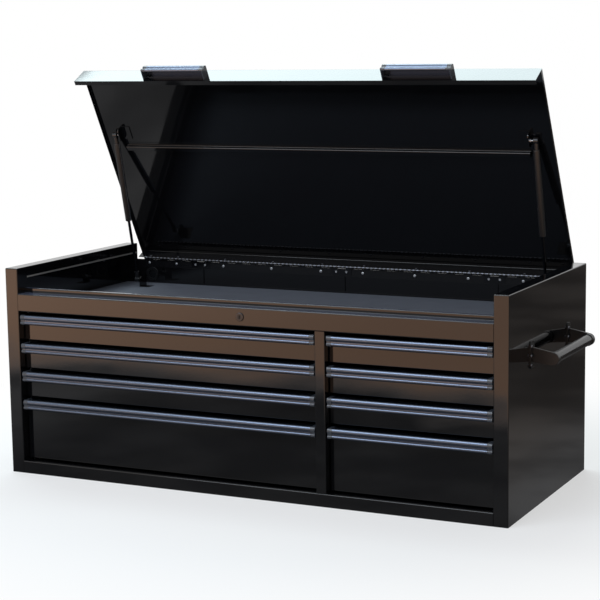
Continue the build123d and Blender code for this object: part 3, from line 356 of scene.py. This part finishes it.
zinc = new_finish("zinc_plated_steel", {"Base Color": linear(ZINC), "Metallic": 1.0})
zinc_place = add_node(zinc, "TexCoord", out="Object")
spangle = add_node(zinc, "TexVoronoi", out="Color", inputs={"Vector": zinc_place, "Scale": 1 / SPANGLE})
smooth_grain, rough_grain = ZINC_ROUGHNESS - SPANGLE_ROUGHNESS, ZINC_ROUGHNESS + SPANGLE_ROUGHNESS
shade(zinc, {"Roughness": add_node(zinc, "MapRange", spangle, 0.0, 1.0, smooth_grain, rough_grain)})
dress(zinc, "hinge_pin", "back_fasteners")


# Gas springs: a painted steel cylinder over a ground rod, nitrided black, each with a moulded socket that
# snaps on a ball stud. The studs are zinc-plated and riveted to enamelled angle brackets.
PAINT_BLACK = "#0d0d0f"
PAINT_ROUGHNESS = 0.33
PAINT_IOR = 1.5
ROD_BLACK = "#2a2b2f"
ROD_ROUGHNESS = 0.16
SOCKET_BLACK = "#101113"
SOCKET_ROUGHNESS = 0.35
SOCKET_REACH = 0.0245
BALL_PLACE = (0.2336, 0.463)
STUD_SIDE_X = 0.6198
PLATE_X = 0.6121

strut_paint = new_finish("satin_black_paint", {"IOR": PAINT_IOR})
strut_x = add_node(strut_paint, "Math", coordinate(strut_paint, "X"), operation="ABSOLUTE")
is_stud = add_node(strut_paint, "Math", strut_x, STUD_SIDE_X, operation="LESS_THAN")
paint_colour = add_node(strut_paint, "MixRGB", is_stud, linear(PAINT_BLACK), linear(ZINC))
paint_rough = add_node(strut_paint, "MapRange", is_stud, 0.0, 1.0, PAINT_ROUGHNESS, ZINC_ROUGHNESS)
shade(strut_paint, {"Base Color": paint_colour, "Metallic": is_stud, "Roughness": paint_rough})
dress(strut_paint, "left_strut_cylinder", "right_strut_cylinder")

rod_finish = new_finish("nitrided_rod_and_nylon_socket", {})
from_ball = from_line(rod_finish, *BALL_PLACE)
is_rod = add_node(rod_finish, "Math", from_ball, SOCKET_REACH, operation="GREATER_THAN")
rod_colour = add_node(rod_finish, "MixRGB", is_rod, linear(SOCKET_BLACK), linear(ROD_BLACK))
rod_rough = add_node(rod_finish, "MapRange", is_rod, 0.0, 1.0, SOCKET_ROUGHNESS, ROD_ROUGHNESS)
shade(rod_finish, {"Base Color": rod_colour, "Metallic": is_rod, "Roughness": rod_rough})
dress(rod_finish, "left_strut_rod", "right_strut_rod")

bracket_finish = enamel("enamelled_bracket_zinc_stud", lambda finish: beyond(finish, "X", 0.0, PLATE_X))
dress(bracket_finish, "strut_brackets_cabinet")


# Slides: three rolled channels, one in the other, on each side of each drawer, held off the outer walls by
# folded uprights. All are zinc-plated strip, as is what turns and slides behind the lock.
dress(zinc, "slide_channels", "slide_uprights", "lock_cam", "lock_bar")


# Drawers: a welded box with a folded front, enamelled like the cabinet, with a zinc-plated slide member on
# each side. A foam mat lies loose on each floor, cut 1 mm short of the walls.
BANKS = ("left", "right")
DRAWERS_PER_BANK = 4
TUB_SIDE_INSET = 0.0112
TUB_SHEET = 0.001
TUB_LIFT = 0.005
MAT_CLEARANCE = 0.001
FRONT_FOLD_DEPTH = 0.008

for bank in BANKS:
    bank_low, bank_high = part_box(f"{bank}_drawer_1_tub")
    centre = (bank_low.x + bank_high.x) / 2
    half_box = (bank_high.x - bank_low.x) / 2 - TUB_SIDE_INSET
    fold_y = bank_low.y + FRONT_FOLD_DEPTH

    def is_rail(finish):
        """1 on the slide members, which stand outside the box and behind the front's folds."""
        outside = beyond(finish, "X", centre, half_box + TUB_SHEET / 10)
        behind = add_node(finish, "Math", coordinate(finish, "Y"), fold_y, operation="GREATER_THAN")
        return add_node(finish, "Math", outside, behind, operation="MULTIPLY")

    tub_enamel = enamel(f"{bank}_drawer_enamel_and_zinc", is_rail)
    for number in range(1, DRAWERS_PER_BANK + 1):
        drawer = f"{bank}_drawer_{number}"
        dress(tub_enamel, f"{drawer}_tub")
        dress(zinc, f"{drawer}_slides")
        tub_low, tub_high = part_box(f"{drawer}_tub")
        side = TUB_SIDE_INSET + TUB_SHEET + MAT_CLEARANCE
        end = TUB_SHEET + MAT_CLEARANCE
        near_corner = (tub_low.x + side, tub_low.y + end)
        far_corner = (tub_high.x - side, tub_high.y - end)
        floor_z = tub_low.z + TUB_LIFT + TUB_SHEET
        drawer_mat, mat_size, _ = mat(f"{drawer}_mat", near_corner, far_corner, floor_z, drawer)


# Pulls: aluminium extrusions, brushed lengthwise by the die and anodised dark grey, so that each ridge
# carries one long soft highlight. A moulded cap painted to match is pressed on each end, with a fine joint
# line.
ANODISED = "#58606e"
PULL_ROUGHNESS = 0.27
CAP_GREY = "#3b3e44"
CAP_ROUGHNESS = 0.22
CAP_LENGTH = 0.012
JOINT_BLACK = "#000000"
JOINT_LINE = 0.0006
DIE_LINE = 0.0014  # real die lines are a tenth of this: drawn coarser, so that they show
DIE_RUN = 0.3
DIE_DEPTH = 0.000002
LID_PULL_LENGTH = 0.191


def pull_finish(name, centre, half, mirrored=False):
    """Anodised extrusion with moulded caps on its last stretch at each end."""
    finish = new_finish(name, {})
    cap = beyond(finish, "X", centre, half - CAP_LENGTH, mirrored)
    cap_and_joint = beyond(finish, "X", centre, half - CAP_LENGTH - JOINT_LINE, mirrored)
    joint = add_node(finish, "Math", cap_and_joint, cap, operation="SUBTRACT")
    metal = add_node(finish, "Math", 1.0, cap_and_joint, operation="SUBTRACT")
    colour = add_node(finish, "MixRGB", cap, linear(ANODISED), linear(CAP_GREY))
    colour = add_node(finish, "MixRGB", joint, colour, linear(JOINT_BLACK))
    rough = add_node(finish, "MapRange", cap, 0.0, 1.0, PULL_ROUGHNESS, CAP_ROUGHNESS)
    place = add_node(finish, "TexCoord", out="Object")
    drawn = add_node(finish, "Mapping", inputs={"Vector": place, "Scale": (DIE_LINE / DIE_RUN, 1.0, 1.0)})
    lines = add_node(finish, "TexNoise", inputs={"Vector": drawn, "Scale": 1 / DIE_LINE, "Detail": 2.0})
    bump = add_node(finish, "Bump", inputs={"Height": lines, "Distance": DIE_DEPTH})
    shade(finish, {"Base Color": colour, "Metallic": metal, "Roughness": rough, "Normal": bump})
    return finish


for bank in BANKS:
    pull_low, pull_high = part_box(f"{bank}_drawer_1_pull")
    centre, half = (pull_low.x + pull_high.x) / 2, (pull_high.x - pull_low.x) / 2
    bank_pull = pull_finish(f"{bank}_pull_anodised", centre, half)
    dress(bank_pull, *(f"{bank}_drawer_{number}_pull" for number in range(1, DRAWERS_PER_BANK + 1)))
lid_pull_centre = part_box("lid_pulls")[1].x - LID_PULL_LENGTH / 2
dress(pull_finish("lid_pull_anodised", lid_pull_centre, LID_PULL_LENGTH / 2, True), "lid_pulls")


# Lock: a die-cast body with a raised ring in dark chrome, and a turning plug whose face has gone dull from
# the key.
DARK_CHROME = "#3c3d40"
CHROME_ROUGHNESS = 0.22
CHROME_RIPPLE = (0.02, 0.00001)
PLUG_GREY = "#38393b"
PLUG_ROUGHNESS = 0.36
PLUG_SCRATCHES = (0.0008, 0.00004)

chrome_look = {"Base Color": linear(DARK_CHROME), "Metallic": 1.0, "Roughness": CHROME_ROUGHNESS}
chrome = new_finish("dark_chrome_plate", chrome_look)
grain(chrome, *CHROME_RIPPLE, detail=1.0)
dress(chrome, "lock_housing")
plug_look = {"Base Color": linear(PLUG_GREY), "Metallic": 1.0, "Roughness": PLUG_ROUGHNESS}
plug_steel = new_finish("worn_plug_steel", plug_look)
grain(plug_steel, *PLUG_SCRATCHES, detail=1.0)
dress(plug_steel, "lock_plug")


# End handles: two moulded glass-filled nylon arms bolted to each wall, and a grip tube in a smooth rubber
# sleeve between their cups. The nylon, also of the grommet in the back panel, is dull beside the sleeve.
NYLON_BLACK = "#0b0c0e"
NYLON_ROUGHNESS = 0.36
NYLON_IOR = 1.42
NYLON_GRAIN = (0.0008, 0.00005)
RUBBER_BLACK = "#0e0f11"
RUBBER_ROUGHNESS = 0.22
RUBBER_IOR = 1.34
RUBBER_GRAIN = (0.0025, 0.00003)

nylon_look = {"Base Color": linear(NYLON_BLACK), "Roughness": NYLON_ROUGHNESS, "IOR": NYLON_IOR}
nylon = new_finish("moulded_nylon", nylon_look)
grain(nylon, *NYLON_GRAIN)
dress(nylon, "side_handle_brackets", "cable_grommet")
rubber_look = {"Base Color": linear(RUBBER_BLACK), "Roughness": RUBBER_ROUGHNESS, "IOR": RUBBER_IOR}
rubber = new_finish("smooth_rubber", rubber_look)
grain(rubber, *RUBBER_GRAIN)
dress(rubber, "side_handle_grips")


# Grommet diaphragm: a thin disc of soft rubber across the bore, so that dust stays out of the till. It is
# moulded to bulge a little, and it is darker than the nylon round it.
BORE_RADIUS = 0.01305
DISC_HALF = 0.0006
DISC_BULGE = 0.0012
DISC_SIDES = 40
DISC_RINGS = (0.000001, 0.35, 0.7, 0.93, 1.0)

grommet_low, grommet_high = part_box("cable_grommet")
grommet_middle = (grommet_low + grommet_high) / 2
ring_share = np.array(DISC_RINGS + DISC_RINGS[::-1])
ring_y = np.repeat([-DISC_HALF, DISC_HALF], len(DISC_RINGS))
ring_y -= DISC_BULGE * np.cos(ring_share * pi / 2) ** 2
disc_turn = np.arange(DISC_SIDES) * 2 * pi / DISC_SIDES
disc = np.stack(
    [
        grommet_middle.x + BORE_RADIUS * np.outer(ring_share, np.cos(disc_turn)),
        grommet_middle.y + np.repeat(ring_y, DISC_SIDES).reshape(-1, DISC_SIDES),
        grommet_middle.z + BORE_RADIUS * np.outer(ring_share, np.sin(disc_turn)),
    ],
    axis=-1,
)
disc_faces = grid_faces(ring_share.size, DISC_SIDES, closed=True)
diaphragm = new_piece("grommet_diaphragm", disc, disc_faces, rubber, "cabinet")
diaphragm.data.shade_smooth()


# Handle bolts: button heads with a hexagon socket, in black zinc, three through each arm's base plate. Each
# rounded head takes one small highlight.
BOLT_RADIUS = 0.005
BOLT_RISE = 0.0032
BOLT_HEIGHTS = (0.412, 0.389, 0.366)
BOLT_SIDES = 24
BOLT_RINGS = 5
CROWN = 0.45
CROWN_POWER = 0.8
SOCKET_FLAT = 0.0016
SOCKET_DEPTH = 0.0019
SOCKET_FLARE = 1.12
FLARE_DEPTH = 0.0002
DRILL_DEPTH = 0.0004


def bolt_head():
    """Points of one head along X, as rings round its axis: its foot, a dome whose radius follows a cosine
    and whose rise a power of a sine, and a hexagon flared at its mouth, down to a drilled point."""
    turn = np.arange(BOLT_SIDES) * 2 * pi / BOLT_SIDES
    hexagon = SOCKET_FLAT / np.cos((turn + pi / 6) % (pi / 3) - pi / 6)
    dome = np.linspace(0, pi / 2, BOLT_RINGS + 1)[:-1]
    round_radius = BOLT_RADIUS * np.concatenate([[END_SHARE], CROWN + (1 - CROWN) * np.cos(dome)])
    round_rise = BOLT_RISE * np.concatenate([[0.0], np.sin(dome) ** CROWN_POWER])
    socket_share = np.array([SOCKET_FLARE, 1.0, 1.0, END_SHARE])
    socket_depth = np.array([0.0, FLARE_DEPTH, SOCKET_DEPTH, SOCKET_DEPTH + DRILL_DEPTH])
    radius = np.concatenate([np.outer(round_radius, np.ones(BOLT_SIDES)), np.outer(socket_share, hexagon)])
    rise = np.concatenate([round_rise, BOLT_RISE - socket_depth])
    rise = np.repeat(rise, BOLT_SIDES).reshape(radius.shape)
    return np.stack([rise, radius * np.cos(turn), radius * np.sin(turn)], axis=-1)


bolt_low, bolt_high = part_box("side_handle_bolts")
seat_x = bolt_high.x - BOLT_RISE
head = bolt_head()
head_faces = grid_faces(*head.shape[:2], closed=True)
heads, faces = [], []
for side in (-1, 1):
    for y in (bolt_low.y + BOLT_RADIUS, bolt_high.y - BOLT_RADIUS):
        for z in BOLT_HEIGHTS:
            turned_faces = head_faces if side < 0 else head_faces[:, ::-1]
            faces.append(turned_faces + len(heads) * head[..., 0].size)
            heads.append(head * (side, 1, 1) + (side * seat_x, y, z))
heads, faces = np.array(heads), np.concatenate(faces)
bolt_heads = new_piece("side_handle_bolt_heads", heads, faces, black_zinc, "cabinet")
bolt_heads.data.shade_smooth()
bolt_heads.data.set_sharp_from_angle(angle=radians(35))
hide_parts("side_handle_bolts")


# Studio: a pale floor, white to the camera and further out in every view. Only to reflections it glows with
# a
# painted reflection: grey near the chest and warm further in front, as floor and daylight are round a chest
# in a workshop.
# A pair named _X, _Y or _REACH is where on the floor a change starts and ends.
FLOOR_HALF = 40.0
FLOOR_PALE = "#e9e9e9"
WHITE_REACH, WHITENESS = (0.75, 1.6), (0.55, 1.0)
NEAR_GREY = (1.0, 1.0, 1.02, 1.0)
SIDE_GREY, SIDE_X = (1.08, 0.97, 0.9, 1.0), (0.7, 1.1)
GREY_Y, GREY_STRENGTH = (0.2, 1.3), (0.2, 0.075)
LEFT_GREY_X, LEFT_GREY_STRENGTH = (-1.2, -0.7), (0.2, 0.0)
STREAKS_PER_METRE, STREAK_NOISE, STREAK_STRENGTH = 2.2, (0.35, 0.65), (0.72, 1.28)
WARM_GLOW = (1.0, 0.62, 0.42, 1.0)
GLOW_X, GLOW_STRENGTH = (-2.9, -0.2), (2.9, 1.75)
GLOW_SLOPE, GLOW_Y, GLOW_BLUR = 0.14, -1.57, (-0.3, 0.3)
PATCHES_PER_METRE, PATCH_SHIFT = 1.6, 1.4

floor_mesh = bpy.data.meshes.new("floor")
corners = FLOOR_HALF * np.array([[-1, -1, 0], [1, -1, 0], [1, 1, 0], [-1, 1, 0]])
floor_mesh.from_pydata(corners.tolist(), [], [(0, 1, 2, 3)])
floor = bpy.data.objects.new("floor", floor_mesh)
bpy.context.scene.collection.objects.link(floor)

floor_coat = bpy.data.materials.new("pale_studio_floor")
floor_coat.use_nodes = True
floor_nodes = floor_coat.node_tree.nodes
floor_nodes.remove(floor_nodes["Principled BSDF"])
floor_mesh.materials.append(floor_coat)
floor_place = add_node(floor_coat, "TexCoord", out="Object")
floor_x = coordinate(floor_coat, "X")
floor_y = coordinate(floor_coat, "Y")
smooth = {"interpolation_type": "SMOOTHSTEP"}

patch_inputs = {"Vector": floor_place, "Scale": PATCHES_PER_METRE, "Detail": 3.0}
patches = add_node(floor_coat, "TexNoise", inputs=patch_inputs)
glow_line = add_node(floor_coat, "Math", floor_x, GLOW_SLOPE, GLOW_Y, operation="MULTIPLY_ADD")
past_line = add_node(floor_coat, "Math", glow_line, floor_y, operation="SUBTRACT")
patches = add_node(floor_coat, "Math", patches, 0.5, operation="SUBTRACT")
past_line = add_node(floor_coat, "Math", patches, PATCH_SHIFT, past_line, operation="MULTIPLY_ADD")
glow = add_node(floor_coat, "MapRange", past_line, *GLOW_BLUR, 0.0, 1.0, **smooth)
glow_strength = add_node(floor_coat, "MapRange", floor_x, *GLOW_X, *GLOW_STRENGTH, **smooth)

side_warmth = add_node(floor_coat, "MapRange", floor_x, *SIDE_X, 0.0, 1.0, **smooth)
near_grey = add_node(floor_coat, "MixRGB", side_warmth, NEAR_GREY, SIDE_GREY)
behind_grey = add_node(floor_coat, "MapRange", floor_y, *GREY_Y, *GREY_STRENGTH, **smooth)
left_grey = add_node(floor_coat, "MapRange", floor_x, *LEFT_GREY_X, *LEFT_GREY_STRENGTH, **smooth)
streak_inputs = {"Vector": floor_place, "Scale": STREAKS_PER_METRE, "Detail": 3.0}
streaks = add_node(floor_coat, "TexNoise", inputs=streak_inputs)
streaks = add_node(floor_coat, "MapRange", streaks, *STREAK_NOISE, *STREAK_STRENGTH, **smooth)
grey_strength = add_node(floor_coat, "Math", behind_grey, left_grey, operation="ADD")
grey_strength = add_node(floor_coat, "Math", grey_strength, streaks, operation="MULTIPLY")

# Painted reflection: an emission that only glossy rays see, grey near the chest and warm in front.
reflected_colour = add_node(floor_coat, "MixRGB", glow, near_grey, WARM_GLOW)
reflected_strength = add_node(floor_coat, "MapRange", glow, 0.0, 1.0, grey_strength, glow_strength)
reflected = add_node(floor_coat, "Emission", reflected_colour, reflected_strength)
pale = add_node(floor_coat, "BsdfDiffuse", linear(FLOOR_PALE))
white = add_node(floor_coat, "Emission", (1.0, 1.0, 1.0, 1.0), 1.0)
off_centre = add_node(floor_coat, "VectorMath", floor_place, out="Value", operation="LENGTH")
whiteness = add_node(floor_coat, "MapRange", off_centre, *WHITE_REACH, *WHITENESS, **smooth)
seen = add_node(floor_coat, "MixShader", whiteness, pale, white)
camera_ray = add_node(floor_coat, "LightPath", out="Is Camera Ray")
through_ray = add_node(floor_coat, "LightPath", out="Is Transmission Ray")
seen_ray = add_node(floor_coat, "Math", camera_ray, through_ray, operation="MAXIMUM")
lit = add_node(floor_coat, "MixShader", seen_ray, pale, seen)
glossy_ray = add_node(floor_coat, "LightPath", out="Is Glossy Ray")
full = add_node(floor_coat, "MixShader", glossy_ray, lit, reflected)
feed(floor_coat, floor_nodes["Material Output"], {"Surface": full})


# Light: a soft key above and behind the lid, which turns its flange pale, a wide cool fill in front for the
# pulls and the mat, and an even sky that the camera and the metal see as white.
KEY_PLACE, KEY_SIZE, KEY_RADIANCE = (-1.2, 1.45, 3.4), (3.5, 1.2), 8.2
KEY_COLOUR = (0.82, 0.97, 1.0)
FILL_PLACE, FILL_SIZE, FILL_RADIANCE = (-0.8, -3.2, 3.6), (3.6, 2.0), 5.6
FILL_COLOUR = (0.78, 0.88, 1.0)
CHEST_MIDDLE = Vector((0.0, 0.0, 0.6))
SKY_STRENGTH = 0.35


def soft_light(name, place, size, radiance, colour):
    """A rectangular lamp aimed at the chest. Its power is its radiance times its area and pi."""
    lamp = bpy.data.lights.new(name, "AREA")
    lamp.shape = "RECTANGLE"
    lamp.size, lamp.size_y = size
    lamp.energy = radiance * size[0] * size[1] * pi
    lamp.color = colour
    light = bpy.data.objects.new(name, lamp)
    light.location = place
    light.rotation_euler = (CHEST_MIDDLE - Vector(place)).to_track_quat("-Z", "Y").to_euler()
    light.visible_camera = False
    bpy.context.scene.collection.objects.link(light)


soft_light("key_light", KEY_PLACE, KEY_SIZE, KEY_RADIANCE, KEY_COLOUR)
soft_light("fill_light", FILL_PLACE, FILL_SIZE, FILL_RADIANCE, FILL_COLOUR)

world = bpy.data.worlds.new("studio")
bpy.context.scene.world = world
world.use_nodes = True
white_ray = add_node(world, "LightPath", out="Is Camera Ray")
for ray in ("Is Glossy Ray", "Is Transmission Ray"):
    other_ray = add_node(world, "LightPath", out=ray)
    white_ray = add_node(world, "Math", white_ray, other_ray, operation="MAXIMUM")
sky_strength = add_node(world, "MapRange", white_ray, 0.0, 1.0, SKY_STRENGTH, 1.0)
sky_inputs = {"Color": (1.0, 1.0, 1.0, 1.0), "Strength": sky_strength}
feed(world, world.node_tree.nodes["Background"], sky_inputs)


# Camera: stands to the right of the chest's front and a little above its lid, on a long lens, and is turned
# by less than a degree about its axis.
CAMERA_PLACE = (2.0310, -4.1119, 1.1597)
CAMERA_AZIMUTH = radians(26.0894)
CAMERA_ELEVATION = radians(8.5904)
CAMERA_ROLL = radians(-0.8314)
LENS_MM = 104.14
SENSOR_MM = 36.0

level = Vector((sin(CAMERA_AZIMUTH), -cos(CAMERA_AZIMUTH), 0.0))
back = cos(CAMERA_ELEVATION) * level + Vector((0.0, 0.0, sin(CAMERA_ELEVATION)))
right = Vector((0, 0, 1)).cross(back).normalized()
up = back.cross(right)
turned_right = cos(CAMERA_ROLL) * right + sin(CAMERA_ROLL) * up
turned_up = cos(CAMERA_ROLL) * up - sin(CAMERA_ROLL) * right
camera_data = bpy.data.cameras.new("camera")
camera_data.lens = LENS_MM
camera_data.sensor_width = SENSOR_MM
camera = bpy.data.objects.new("camera", camera_data)
bpy.context.scene.collection.objects.link(camera)
axes = Matrix((turned_right, turned_up, back)).transposed().to_4x4()
camera.matrix_world = Matrix.Translation(CAMERA_PLACE) @ axes
bpy.context.scene.camera = camera
bpy.context.scene.view_settings.view_transform = "Standard"
